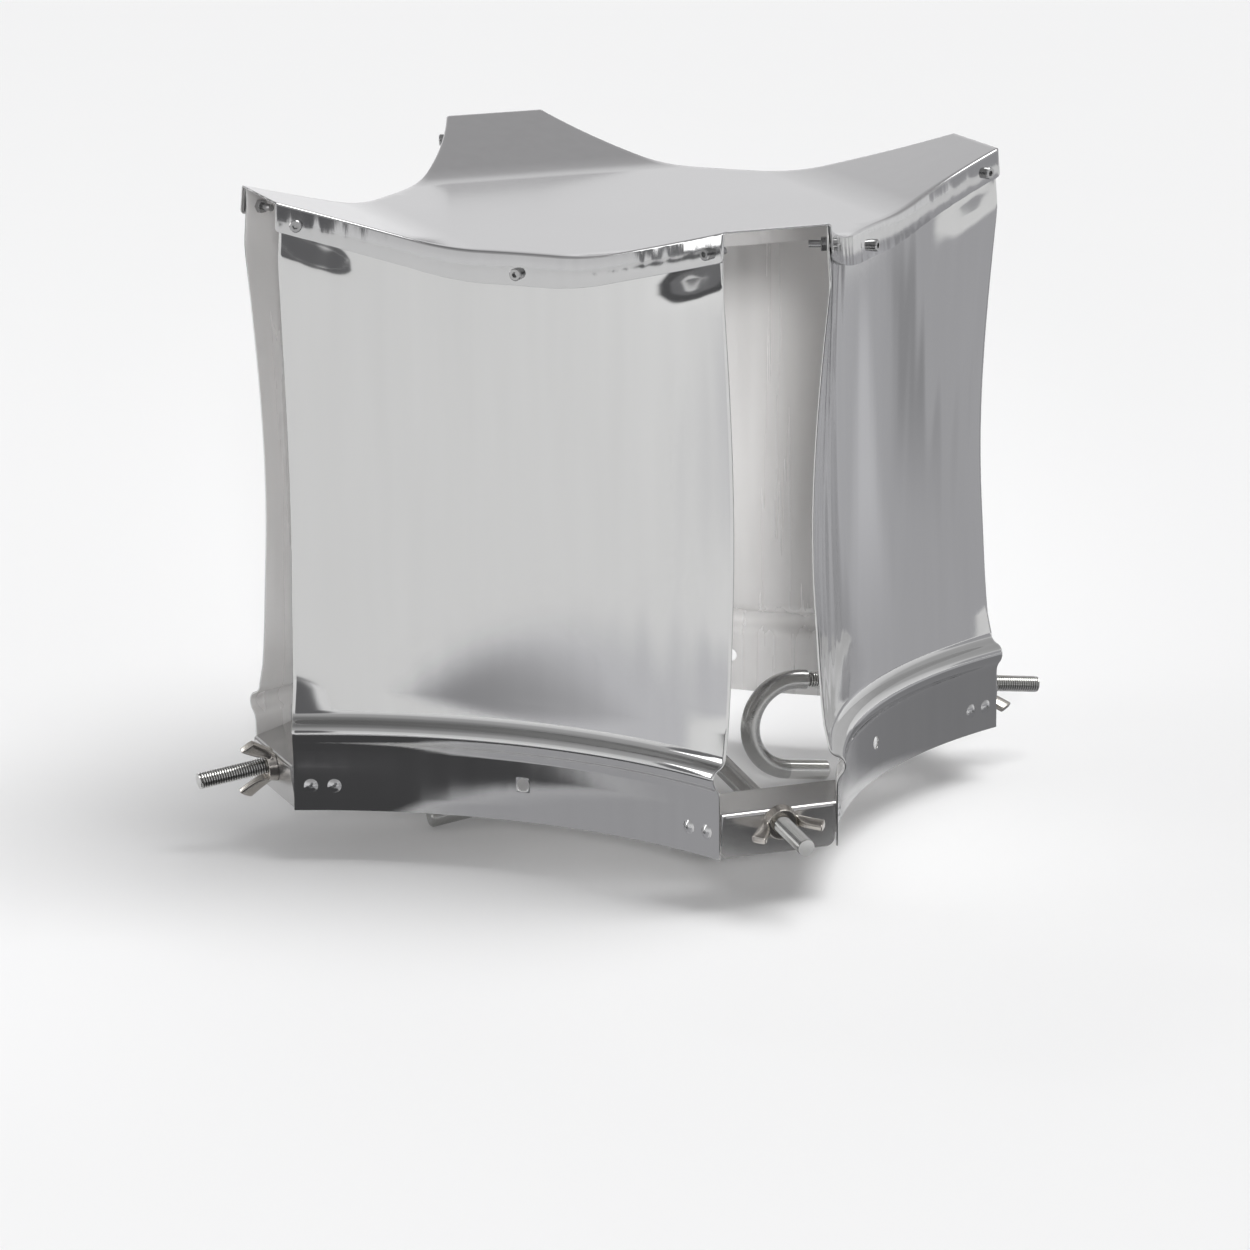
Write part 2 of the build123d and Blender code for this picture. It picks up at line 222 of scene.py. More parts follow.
# %% [markdown]
# ## One panel
#
# The real panel is one sheet, rolled to a hollow curve, with a bead pressed between its skirt and its
# wall. It could be a grid pushed into shape, but drawing the section once and spinning it about the
# curve's own axis gives a bead that is true along its whole length. The wall above is bent less at its
# waist, which a spin can't give. So it is extruded row by row, and each row is laid on its own arc.
# The real sheet isn't perfect: it swells by a few millimetres below the flange's ends and gives way above
# the bead's ends. Bright sheet shows such faults at once, so the rows carry them too. Only the right half
# is modelled, and a mirror gives the other.

# %% Draw the skirt and bead in section
skirt_rows, bead_rise_rows, bead_fall_rows = 4, 5, 6


def ogee(start, end, steps):
    # Two equal arcs that leave both ends upright
    height = end[1] - start[1]
    out = end[0] - start[0]
    radius = (height ** 2 + out ** 2) / (4 * abs(out))
    turn = math.asin(height / (2 * radius))
    points = []
    for step in range(1, steps + 1):
        angle = turn * step / steps
        points.append((start[0] + math.copysign(radius * (1 - math.cos(angle)), out),
                       start[1] + radius * math.sin(angle)))
    for step in range(1, steps + 1):
        angle = turn * (1 - step / steps)
        points.append((end[0] - math.copysign(radius * (1 - math.cos(angle)), out),
                       end[1] - radius * math.sin(angle)))
    return points


section = [(0.0, skirt_height * step / skirt_rows) for step in range(1, skirt_rows + 1)]
section += ogee((0.0, skirt_height), (-bead_out, bead_crest_height), bead_rise_rows)
section += ogee((-bead_out, bead_crest_height), (wall_inset, wall_foot_height), bead_fall_rows)
print("the section has", len(section) + 1, "points")

# %% Spin the section
bpy.ops.object.select_all(action="DESELECT")
bpy.ops.mesh.primitive_plane_add(size=mm, location=(0, 0, 0))
panel = bpy.context.object
panel.name = "front_wall"
panel.location = (0, -skirt_depth, 0)
settle(panel, Matrix.Identity(4))
open_mesh(panel)
bpy.ops.mesh.select_all(action="SELECT")
bpy.ops.mesh.merge(type="CENTER")
here = (0.0, 0.0)
for out, height in section:
    step = (0, out - here[0], height - here[1])
    bpy.ops.mesh.extrude_region_move(TRANSFORM_OT_translate={"value": step})
    here = (out, height)
bpy.ops.mesh.select_all(action="SELECT")
bpy.ops.mesh.spin(steps=64, angle=skirt_half_angle, center=(0, skirt_axis_y, 0), axis=(0, 0, 1))
print("half a skirt has", len(bmesh.from_edit_mesh(panel.data).faces), "faces")

# %% The arc at each height of the wall
wall_rows = 34
# From this far above the flat of the cap upwards, the wall has the curve of the cap's edge
wall_above_cap = 6.5 * mm


def sagitta_at(share):
    # The waist is bent less: a curve through the foot, the waist and the top
    def sag(radius):
        return radius * (1 - math.cos(wall_half_length / radius))
    foot, waist, top = sag(foot_radius), sag(waist_radius), sag(cap_radius + sheet + gap)
    return (foot * (1 - share) * (1 - 2 * share) + 4 * waist * share * (1 - share)
            + top * share * (2 * share - 1))


def on_wall(along, height):
    # A point of the wall's outer face, from its distance along the wall's curve
    share = min(1.0, (height - wall_foot_height) / (cap_height + wall_above_cap - wall_foot_height))
    sag = sagitta_at(share)
    # The first guess at the arc's radius is corrected until the arc has this sagitta
    radius = wall_half_length ** 2 / (2 * sag)
    for _ in range(4):
        radius *= radius * (1 - math.cos(wall_half_length / radius)) / sag
    angle = along / radius
    return Vector((radius * math.sin(angle), -(wall_depth + radius) + radius * math.cos(angle), height))


def wall_top(along):
    # The wall ends under the cap
    over = on_wall(along, cap_height)
    return cap_face(over.x, over.y) - sheet - gap


# %% Extrude the rows
for row in range(1, wall_rows + 1):
    low = wall_foot_height + (row - 1) * mm
    pick_points(panel, lambda point: abs(point.z - low) < 0.2 * mm)
    bpy.ops.mesh.extrude_region_move(TRANSFORM_OT_translate={"value": (0, 0, mm)})


# %% Faults that bright sheet shows
# Each fault has a depth, and spans along the side and up the wall in which it sets in or fades
swell_depth, swell_span = 3.6 * mm, (70 * mm, 116 * mm)
swell_grows, swell_fades = (0, 27 * mm), (28 * mm, 190 * mm)
swell_below_top = 9 * mm
dent_depth, dent_span = 1.1 * mm, (92 * mm, 122 * mm)
dent_grows, dent_fades = (0, 11 * mm), (12 * mm, 70 * mm)
flute_depth, flute_span, flute_end = 0.09 * mm, (30 * mm, 75 * mm), (118 * mm, 128 * mm)
flute_grows, flute_fan = (0, 60 * mm), (0, 250 * mm)


def smooth_step(low, high, value):
    share = min(1.0, max(0.0, (value - low) / (high - low)))
    return share * share * (3 - 2 * share)


def swell(x, drop):
    # Below the ends of the flange, where the screws pull the sheet in, it swells outwards again
    reach = smooth_step(*swell_span, abs(x))
    return swell_depth * reach * smooth_step(*swell_grows, drop) * (1 - smooth_step(*swell_fades, drop))


def give_way(x, rise):
    # Above the ends of the bead, where the press lets go of it, the sheet gives way inwards
    reach = smooth_step(*dent_span, abs(x))
    return dent_depth * reach * smooth_step(*dent_grows, rise) * (1 - smooth_step(*dent_fades, rise))


def flutes(x, rise):
    # Pressing the bead leaves faint flutes near the sheet's edges, leaning towards them as they rise
    reach = smooth_step(*flute_span, abs(x)) * (1 - smooth_step(*flute_end, abs(x)))
    fan = (abs(x) / mm - 126) * (1 + 0.22 * smooth_step(*flute_fan, rise))
    wave = math.sin(fan * 0.30) + 0.7 * math.sin(fan * 0.17 + 1.1)
    return flute_depth * reach * wave * smooth_step(*flute_grows, rise)


# %% Lay the rows on their arcs
row_crowding = 0.12


def lay_wall(point):
    row = round((point.z - wall_foot_height) / mm)
    along = foot_radius * math.atan2(point.x, point.y - skirt_axis_y)
    top = wall_top(along)
    # Rows lie closer together towards the top, where the sheet is bent most
    share = row / wall_rows
    share += row_crowding * math.sin(math.pi * share)
    height = wall_foot_height + (top - wall_foot_height) * share
    place = on_wall(along, height)
    rise = height - wall_foot_height
    drop = top - height - swell_below_top
    place.y += give_way(place.x, rise) - swell(place.x, drop) + flutes(place.x, rise)
    return place


pick_points(panel, lambda point: point.z > wall_foot_height + 0.5 * mm)
lay_points(panel, lay_wall)
close_mesh()
report_size(panel)

# %% Mirror the half and give it its thickness
def in_front(piece):
    # The sheet's outer face has to look out, towards -Y, before it is thickened inwards
    open_mesh(piece)
    bpy.ops.mesh.select_all(action="SELECT")
    bpy.ops.mesh.remove_doubles(threshold=0.00002)
    bpy.ops.mesh.normals_make_consistent(inside=False)
    net = bmesh.from_edit_mesh(piece.data)
    outward = sum(face.normal.y * face.calc_area() for face in net.faces)
    if outward > 0:
        bpy.ops.mesh.flip_normals()
    close_mesh()


add_modifier(panel, "other_half", "MIRROR", use_axis=(True, False, False), merge_threshold=0.00002)
in_front(panel)
add_modifier(panel, "thickness", "SOLIDIFY", thickness=sheet, offset=-1.0, use_even_offset=True)
report_size(panel)

# %% Drill the side hole and break the cut edges
side_hole_radius = 3.75 * mm
side_hole_height = 21.7 * mm
side_names = ["front", "right", "back", "left"]
bpy.ops.object.select_all(action="DESELECT")
bpy.ops.mesh.primitive_cylinder_add(vertices=40, radius=side_hole_radius, depth=20 * mm,
                                    location=(0, -skirt_depth, side_hole_height),
                                    rotation=(math.pi / 2, 0, 0))
drill = bpy.context.object
add_modifier(panel, "side_hole", "BOOLEAN", object=drill, operation="DIFFERENCE", solver="EXACT")
bpy.data.objects.remove(drill)
add_modifier(panel, "cut_edges", "BEVEL", width=0.25 * mm, segments=2, limit_method="ANGLE",
             angle_limit=math.radians(60))
shade_smooth(panel)
panels = [panel]
for turn, side in enumerate(side_names[1:], 1):
    panels.append(copy_piece(panel, f"{side}_wall", Matrix.Rotation(turn * math.pi / 2, 4, "Z")))
for piece, side in zip(panels, side_names):
    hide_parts(f"{side}_panel")
    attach(piece, "cowl")
    report_size(piece)

# %% [markdown]
# ## The cap
#
# The real cap is one square of sheet with hollow sides. Its four corners are bent up as arms, and its
# hollow sides are folded down as flanges. It is modelled with its arms along X and Y, where every bend
# is a straight row, and turned through 45 degrees before its flanges are folded down. The flat middle is a
# grid. Each arm grows out of one side of it, row by row, and each row is scaled to the width that the
# hollow sides leave.

# %% Grow the arms from the flat middle
arm_rows = 64
middle_half = cap_depth / math.sqrt(2)
bpy.ops.object.select_all(action="DESELECT")
bpy.ops.mesh.primitive_grid_add(x_subdivisions=24, y_subdivisions=24, size=2 * middle_half,
                                location=(0, 0, 0))
cap = bpy.context.object
cap.name = "cowl_cap"
cap.location = (0, 0, cap_height)
settle(cap, Matrix.Identity(4))


def arm_row(number):
    # Distance from the cap's middle, half width and height of one row of an arm
    angle = cap_half_angle * number / arm_rows
    x = cap_radius * math.sin(angle)
    y = cap_axis_y + cap_radius * math.cos(angle)
    return (x - y) / math.sqrt(2), (-y - x) / math.sqrt(2), cap_face(x, y)


open_mesh(cap)
for quarter in range(4):
    turn = Matrix.Rotation(quarter * math.pi / 2, 3, "Z")
    along, across = turn @ Vector((1, 0, 0)), turn @ Vector((0, 1, 0))
    for number in range(1, arm_rows + 1):
        run, half_width, height = arm_row(number)
        last_run, last_half, last_height = arm_row(number - 1)
        pick_points(cap, lambda point: point.dot(along) > last_run - 0.02 * mm)
        step = along * (run - last_run) + Vector((0, 0, height - last_height))
        bpy.ops.mesh.extrude_region_move(TRANSFORM_OT_translate={"value": step})
        share = half_width / last_half
        scale = [1 if abs(across[i]) < 0.5 else share for i in range(3)]
        bpy.ops.transform.resize(value=scale, center_override=along * run)
close_mesh()
report_size(cap)

# %% Turn the cap square and fold its flanges down
flange_splay, crimp_depth, crimp_reach = 1.1 * mm, 0.15 * mm, 100 * mm
bpy.context.view_layer.update()
settle(cap, Matrix.Rotation(-math.pi / 4, 4, "Z"))


def side_frame(point):
    # The point as the nearest side sees it: along the side, and out from the cowl's axis
    if abs(point.y) >= abs(point.x):
        return point.x, abs(point.y)
    return point.y, abs(point.x)


def on_hollow_edge(point):
    along, out = side_frame(point)
    return abs(math.hypot(along, -out - cap_axis_y) - cap_radius) < 0.05 * mm


open_mesh(cap)
net = bmesh.from_edit_mesh(cap.data)
for edge in net.edges:
    ends = [on_hollow_edge(point.co) for point in edge.verts]
    if all(ends) and edge.is_boundary:
        edge.select_set(True)
bmesh.update_edit_mesh(cap.data)
bpy.ops.mesh.extrude_region_move(TRANSFORM_OT_translate={"value": (0, 0, -flange_depth)})


def crimp(along, seed):
    # Folding a hollow edge leaves ripples of uneven width along the flange
    wander = along / mm + 3.0 * math.sin(along / mm * 0.071 + seed)
    wave = math.sin(wander * 0.55 + seed) + 0.6 * math.sin(wander * 0.93 + 2.1 * seed)
    strength = 0.35 + 0.65 * min(1.0, abs(along) / crimp_reach)
    return flange_splay + crimp_depth * strength * (1.6 + wave)


def lay_flange_edge(point):
    along, out = side_frame(point)
    run = (abs(along) + out) / math.sqrt(2)
    arm = min(1.0, max(0.0, (run - bend_start) / (bend_radius * math.sin(arm_slope))))
    drop = flange_depth * (1 - arm) + flange_arm_depth / math.cos(arm_slope) * arm
    seed = math.atan2(point.y, point.x) // (math.pi / 2) + 2.0
    level = Vector((point.x, point.y, 0))
    outward = (Vector((0, math.copysign(1, point.y), 0)) if abs(point.y) >= abs(point.x)
               else Vector((math.copysign(1, point.x), 0, 0)))
    place = level + outward * crimp(along, seed)
    place.z = cap_face(point.x, point.y) - drop
    return place


lay_points(cap, lay_flange_edge)
close_mesh()
report_size(cap)

# %% Round the flange's ends and the fold, and give the cap its thickness
flange_end_radius, fold_width = 5 * mm, 1.6 * mm
open_mesh(cap)
net = bmesh.from_edit_mesh(cap.data)
low_corners = []
for point in net.verts:
    along, out = side_frame(point.co)
    below_face = cap_face(point.co.x, point.co.y) - point.co.z
    if below_face > flange_arm_depth / 2 and abs(along) > cap_half_chord - 0.1 * mm:
        low_corners.append(point)
        point.select_set(True)
bmesh.update_edit_mesh(cap.data)
print(len(low_corners), "low corners")
bpy.ops.mesh.bevel(offset=flange_end_radius, segments=5, affect="VERTICES", clamp_overlap=True)
close_mesh()
point_faces_outwards(cap)
open_mesh(cap)
bpy.ops.mesh.select_all(action="SELECT")
net = bmesh.from_edit_mesh(cap.data)
if sum(face.normal.z * face.calc_area() for face in net.faces) < 0:
    bpy.ops.mesh.flip_normals()
close_mesh()
add_modifier(cap, "fold", "BEVEL", width=fold_width, segments=3, limit_method="ANGLE",
             angle_limit=math.radians(50))
add_modifier(cap, "thickness", "SOLIDIFY", thickness=sheet, offset=-1.0, use_even_offset=True)
add_modifier(cap, "cut_edges", "BEVEL", width=0.3 * mm, segments=2, limit_method="ANGLE",
             angle_limit=math.radians(60))
shade_smooth(cap)
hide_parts("cap")
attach(cap, "cowl")
report_size(cap)

# %% [markdown]
# ## The hook bolts
#
# A hook bolt is a rod with a plain hooked end and a rolled thread on the rest. The rod lies along a line
# that slopes down and outwards. It is made on a bench frame, with the rod along Z, and then carried to its
# corner. The hook is a circle that is extruded, spun through half a turn and extruded again. The thread is
# the section of one turn, wound up by a screw modifier.

# %% Sizes of the bolts
thread_radius = 4.9 * mm
thread_root = 3.98 * mm
pitch = 1.5 * mm
shank_radius = 5.75 * mm
bolt_slope = math.radians(7.25)
skirt_corner_run = (skirt_half_chord + skirt_corner_depth) / math.sqrt(2)
face_past_corner = 0.8 * mm
bolt_height = 18.4 * mm
hook_radius = 27.5 * mm
hook_tip = 26.0 * mm
corner_names = ["front_right", "back_right", "back_left", "front_left"]
thread_starts = [29.2 * mm, 112.2 * mm, 112.2 * mm, 29.2 * mm]
bolt_shifts = [0.0, 5.0 * mm, 3.0 * mm, 7.0 * mm]
tail_run, inner_run = 38.5 * mm, 118.2 * mm
tail_length = (tail_run - face_past_corner) / math.cos(bolt_slope)
inner_length = (inner_run + face_past_corner) / math.cos(bolt_slope)
end_chamfer = 1.2 * mm
sawn_length = 1.0 * mm


def bolt_place(corner):
    # Bench Z becomes the bolt's line, outwards, and bench Y points up
    across = Vector((0, 1, 0))
    outwards = Vector((math.cos(bolt_slope), 0, -math.sin(bolt_slope)))
    up = outwards.cross(across)
    place = Matrix((across, up, outwards)).transposed().to_4x4()
    place.translation = Vector((skirt_corner_run + face_past_corner, 0, bolt_height))
    return Matrix.Rotation(math.radians(-45 + 90 * corner), 4, "Z") @ place


print("a bolt is", round((tail_length + inner_length) / mm, 1), "mm along its line")

# %% Bend the hook
def bend_hook(name, shoulder):
    bpy.ops.object.select_all(action="DESELECT")
    bpy.ops.mesh.primitive_circle_add(vertices=32, radius=shank_radius - end_chamfer, fill_type="NGON",
                                      location=(0, 0, shoulder))
    hook = bpy.context.object
    hook.name = name
    settle(hook, Matrix.Identity(4))
    open_mesh(hook)
    bpy.ops.mesh.select_all(action="SELECT")
    wide = shank_radius / (shank_radius - end_chamfer)
    bpy.ops.mesh.extrude_region_move(TRANSFORM_OT_translate={"value": (0, 0, -end_chamfer)})
    bpy.ops.transform.resize(value=(wide, wide, 1), center_override=(0, 0, shoulder - end_chamfer))
    bpy.ops.mesh.extrude_region_move(
        TRANSFORM_OT_translate={"value": (0, 0, -inner_length - shoulder + end_chamfer)})
    bpy.ops.mesh.spin(steps=24, angle=math.pi, center=(0, -hook_radius, -inner_length), axis=(1, 0, 0))
    bpy.ops.mesh.extrude_region_move(TRANSFORM_OT_translate={"value": (0, 0, hook_tip - end_chamfer)})
    bpy.ops.mesh.extrude_region_move(TRANSFORM_OT_translate={"value": (0, 0, end_chamfer)})
    bpy.ops.transform.resize(value=(1 / wide, 1 / wide, 1),
                             center_override=(0, -2 * hook_radius, -inner_length + hook_tip))
    close_mesh()
    point_faces_outwards(hook)
    report_size(hook)
    return hook


# %% Wind the thread
# The section of one turn: steps outwards in shares of the depth, and along the rod in shares of the pitch
thread_section = ((0.4, 0.17), (0.6, 0.25), (0, 0.16), (-0.6, 0.25), (-0.4, 0.17))


def wind_thread(name, start, end):
    turns = int((end - start) / pitch)
    bpy.ops.object.select_all(action="DESELECT")
    bpy.ops.mesh.primitive_plane_add(size=mm, location=(thread_root, 0, end - turns * pitch))
    thread = bpy.context.object
    thread.name = name
    settle(thread, Matrix.Identity(4))
    open_mesh(thread)
    bpy.ops.mesh.select_all(action="SELECT")
    bpy.ops.mesh.merge(type="CENTER")
    depth = thread_radius - thread_root
    for out, up in thread_section:
        step = (out * depth, 0, up * pitch)
        bpy.ops.mesh.extrude_region_move(TRANSFORM_OT_translate={"value": step})
    close_mesh()
    add_modifier(thread, "thread", "SCREW", axis="Z", angle=math.tau, steps=24, render_steps=24,
                 screw_offset=pitch, iterations=turns - 1, use_merge_vertices=True,
                 merge_threshold=0.00001)
    open_mesh(thread)
    ends = (start + 1.2 * pitch, end - 0.8 * pitch)

    def run_out(point):
        # The first and last turns sink into the core
        past = max(ends[0] - point.z, point.z - ends[1], 0.0) / (1.2 * pitch)
        radius = math.hypot(point.x, point.y)
        shrink = 1 - min(1.0, past) * max(0.0, radius - thread_root + 0.1 * mm) / radius
        return Vector((point.x * shrink, point.y * shrink, point.z))

    bpy.ops.mesh.select_all(action="SELECT")
    lay_points(thread, run_out)
    bpy.ops.mesh.normals_make_consistent(inside=False)
    close_mesh()
    print(name, "has", turns, "turns")
    return thread


# %% Make the four bolts
# The core stands a little proud of the thread's root, and its sawn end has nearly the thread's width:
# how far each row of the end lies inside the crests, and how far it is pulled out
core_radius = thread_root + 0.12 * mm
sawn_rows = ((0.25 * mm, 0.35 * mm), (0.25 * mm, 0.4 * mm), (0.6 * mm, 0.25 * mm))


def make_hook_bolt(corner):
    name = corner_names[corner] + "_hook"
    shoulder = -(thread_starts[corner] + face_past_corner) / math.cos(bolt_slope)
    hook = bend_hook(name, shoulder)
    bpy.ops.object.select_all(action="DESELECT")
    length = tail_length - shoulder
    bpy.ops.mesh.primitive_cylinder_add(vertices=24, radius=core_radius, depth=length,
                                        location=(0, 0, shoulder + length / 2))
    core = bpy.context.object
    settle(core, Matrix.Identity(4))
    open_mesh(core)
    pick_points(core, lambda point: point.z > tail_length - 0.01 * mm)
    bpy.ops.transform.translate(value=(0, 0, -sawn_length))
    pick_faces(core, lambda middle, normal: normal.z > 0.9)
    for inside, out in sawn_rows:
        bpy.ops.mesh.extrude_region_move(TRANSFORM_OT_translate={"value": (0, 0, out)})
        end_points = [point for point in bmesh.from_edit_mesh(core.data).verts if point.select]
        share = (thread_radius - inside) / math.hypot(end_points[0].co.x, end_points[0].co.y)
        bpy.ops.transform.resize(value=(share, share, 1))
    close_mesh()
    thread = wind_thread(name + "_thread", shoulder, tail_length - 0.4 * mm)
    clear_selection()
    for part in (core, thread, hook):
        part.select_set(True)
    bpy.context.view_layer.objects.active = hook
    bpy.ops.object.join()
    shade_smooth(hook, 40)
    settle(hook, bolt_place(corner) @ Matrix.Translation((0, 0, bolt_shifts[corner])))
    return hook


bolts = []
for corner, name in enumerate(corner_names):
    bolt = make_hook_bolt(corner)
    bolts.append(bolt)
    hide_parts(f"{name}_hook_bolt")
    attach(bolt, f"{name}_hook")
    report_size(bolt)

# %% [markdown]
# ## The wing nuts
#
# The wing nuts are castings with soft edges everywhere. A cylinder gives the hub, an inset and a bridge
# open its bore, and a few of its side faces are pulled out into wings. A subdivision surface then rounds
# the whole form, as a casting is rounded, so the shape is kept loose and simple before it.

# %% Model one wing nut on the bench
hub_radius = 10.4 * mm
hub_top_radius = 8.7 * mm
hub_height = 5.0 * mm
wing_bore = 4.95 * mm
wing_root_half, wing_root_low, wing_root_high = 3.2 * mm, 0.9 * mm, 4.3 * mm
# Cuts near the hub's faces keep its edges tight when it is subdivided, and two more bound the wings' roots
hub_cuts = (0.3 * mm, 0.9 * mm, 4.1 * mm, 4.75 * mm)
wing_turns = [6.0, 35.0, -25.0, 60.0]
# Each row of a wing: how far out, how high, its slope, its height along that slope, its thickness
wing_rows = [(11.2, 6.0, -40, 7.6, 5.2), (14.2, 10.4, -38, 8.2, 4.6), (17.4, 14.4, -36, 8.8, 4.5),
             (19.0, 16.2, -35.5, 9.0, 4.5), (19.4, 16.7, -35.5, 8.6, 4.2)]
bpy.ops.object.select_all(action="DESELECT")
bpy.ops.mesh.primitive_cylinder_add(vertices=24, radius=hub_radius, depth=hub_height,
                                    location=(0, 0, hub_height / 2 + gap))
wing_nut = bpy.context.object
wing_nut.name = "wing_nut"
settle(wing_nut, Matrix.Rotation(math.radians(7.5), 4, "Z"))
open_mesh(wing_nut)
pick_points(wing_nut, lambda point: point.z > hub_height / 2)
share = hub_top_radius / hub_radius
bpy.ops.transform.resize(value=(share, share, 1), center_override=(0, 0, hub_height + gap))
pick_faces(wing_nut, lambda middle, normal: normal.z > 0.9)
bpy.ops.mesh.inset(thickness=hub_top_radius - wing_bore)
pick_faces(wing_nut, lambda middle, normal: normal.z < -0.9)
bpy.ops.mesh.inset(thickness=hub_radius - wing_bore)
pick_faces(wing_nut, lambda middle, normal: abs(normal.z) > 0.9 and middle.to_2d().length < mm)
bpy.ops.mesh.bridge_edge_loops()
for height in hub_cuts:
    bpy.ops.mesh.select_all(action="SELECT")
    bpy.ops.mesh.bisect(plane_co=(0, 0, height), plane_no=(0, 0, 1))
print("the hub has", len(bmesh.from_edit_mesh(wing_nut.data).faces), "faces")


# %% Pull out the two wings
def lay_wing_row(hand, row):
    # The picked faces become a flat row of the wing
    out, height, slope, tall, thick = row
    net = bmesh.from_edit_mesh(wing_nut.data)
    chosen = [point for point in net.verts if point.select]
    low, high = min(p.co.z for p in chosen), max(p.co.z for p in chosen)
    wide = max(abs(p.co.y) for p in chosen)
    lean = math.radians(slope)
    for point in chosen:
        up = ((point.co.z - low) / (high - low) - 0.5) * tall * mm
        point.co = Vector((hand * (out * mm + up * math.sin(lean)), point.co.y / wide * thick / 2 * mm,
                           height * mm + up * math.cos(lean)))
    bmesh.update_edit_mesh(wing_nut.data)


for hand in (-1, 1):
    pick_faces(wing_nut, lambda middle, normal: middle.x * hand > 0 and abs(middle.y) < wing_root_half
               and wing_root_low < middle.z < wing_root_high and middle.to_2d().length > wing_bore + mm)
    for row in wing_rows:
        bpy.ops.mesh.extrude_region_move(TRANSFORM_OT_translate={"value": (hand * mm, 0, 0.0)})
        lay_wing_row(hand, row)
close_mesh()
point_faces_outwards(wing_nut)
add_modifier(wing_nut, "cast", "SUBSURF", levels=2, render_levels=2)
shade_smooth(wing_nut, 60)
report_size(wing_nut)

# %% Carry a copy to each corner
nuts = []
for corner, name in enumerate(corner_names):
    turn = Matrix.Rotation(math.radians(wing_turns[corner]), 4, "Z")
    nut = copy_piece(wing_nut, f"{name}_wings", bolt_place(corner) @ turn)
    nuts.append(nut)
    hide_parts(f"{name}_wing_nut")
    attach(nut, f"{name}_nut")
    report_size(nut)
bpy.data.objects.remove(wing_nut)

# %% [markdown]
# ## The finishes
#
# All the metal is steel, but each piece shows it in another state. The sheet is rolled bright outside
# and duller inside, where its pale, half-matte colour is painted light. It is crimped along the cap's
# flanges, where its darker colour is partly painted shade. The brackets are satin, the rivets bright,
# the screws darker and the nuts cast. A hook bolt is satin, its thread is bright on the crests, its
# valleys are darkened with painted shade, and its end is sawn. One function makes them all: a metallic
# shader with its own colour, roughness and fine relief. The relief comes from noise on the object's own
# coordinates, stretched where the metal was rolled or drawn.

# %% A bump from noise that is stretched along one direction
def add_relief(tree, place, below, scale, stretch, detail, strength, depth):
    spread = tree.nodes.new("ShaderNodeMapping")
    spread.inputs["Scale"].default_value = stretch
    tree.links.new(place.outputs["Object"], spread.inputs["Vector"])
    noise = tree.nodes.new("ShaderNodeTexNoise")
    noise.inputs["Scale"].default_value = scale
    noise.inputs["Detail"].default_value = detail
    tree.links.new(spread.outputs["Vector"], noise.inputs["Vector"])
    bump = tree.nodes.new("ShaderNodeBump")
    bump.inputs["Strength"].default_value = strength
    bump.inputs["Distance"].default_value = depth
    tree.links.new(noise.outputs["Fac"], bump.inputs["Height"])
    if below:
        tree.links.new(below.outputs["Normal"], bump.inputs["Normal"])
    return noise, bump


# %% A steel with a grain, and with broad waves and streaks below it
def make_steel(name, colour, roughness, spread, grain, stretch, relief, wave=0.0, streak=0.0, metallic=1.0):
    steel = bpy.data.materials.new(name)
    steel.use_nodes = True
    tree = steel.node_tree
    shader = tree.nodes["Principled BSDF"]
    shader.inputs["Metallic"].default_value = metallic
    place = tree.nodes.new("ShaderNodeTexCoord")
    below = None
    if wave:
        below = add_relief(tree, place, below, 9.0, (1, 1, 1), 0.5, wave, 0.004)[1]
    if streak:
        below = add_relief(tree, place, below, 62.0, (1, 1, 0.035), 1.5, streak, 0.002)[1]
    fine, below = add_relief(tree, place, below, grain, stretch, 6.0, relief, 0.0002)
    rough = tree.nodes.new("ShaderNodeMapRange")
    rough.inputs["To Min"].default_value = roughness - spread
    rough.inputs["To Max"].default_value = roughness + spread
    tree.links.new(fine.outputs["Fac"], rough.inputs["Value"])
    tree.links.new(rough.outputs["Result"], shader.inputs["Roughness"])
    tint = tree.nodes.new("ShaderNodeMix")
    tint.data_type = "RGBA"
    tint.inputs["A"].default_value = (*[c * 0.93 for c in colour], 1)
    tint.inputs["B"].default_value = (*colour, 1)
    tree.links.new(fine.outputs["Fac"], tint.inputs["Factor"])
    tree.links.new(tint.outputs["Result"], shader.inputs["Base Color"])
    tree.links.new(below.outputs["Normal"], shader.inputs["Normal"])
    return steel


# %% The steels of this cowl
bright_sheet = make_steel("bright_sheet", (0.645, 0.645, 0.64),
                          0.065, 0.02, 90.0, (1, 1, 0.08), 0.03, wave=0.10, streak=0.03)
# The inside's pale, half-matte colour is painted light: it brightens the inside of the cowl as the light
# that reaches it would
inner_sheet_painted_light = make_steel("inner_sheet_painted_light", (0.94, 0.93, 0.92),
                         0.27, 0.05, 60.0, (1, 1, 0.03), 0.2, wave=0.12, streak=0.40, metallic=0.3)
cap_sheet = make_steel("cap_sheet", (0.60, 0.595, 0.60), 0.14, 0.02, 120.0, (1, 1, 1), 0.02, wave=0.08)
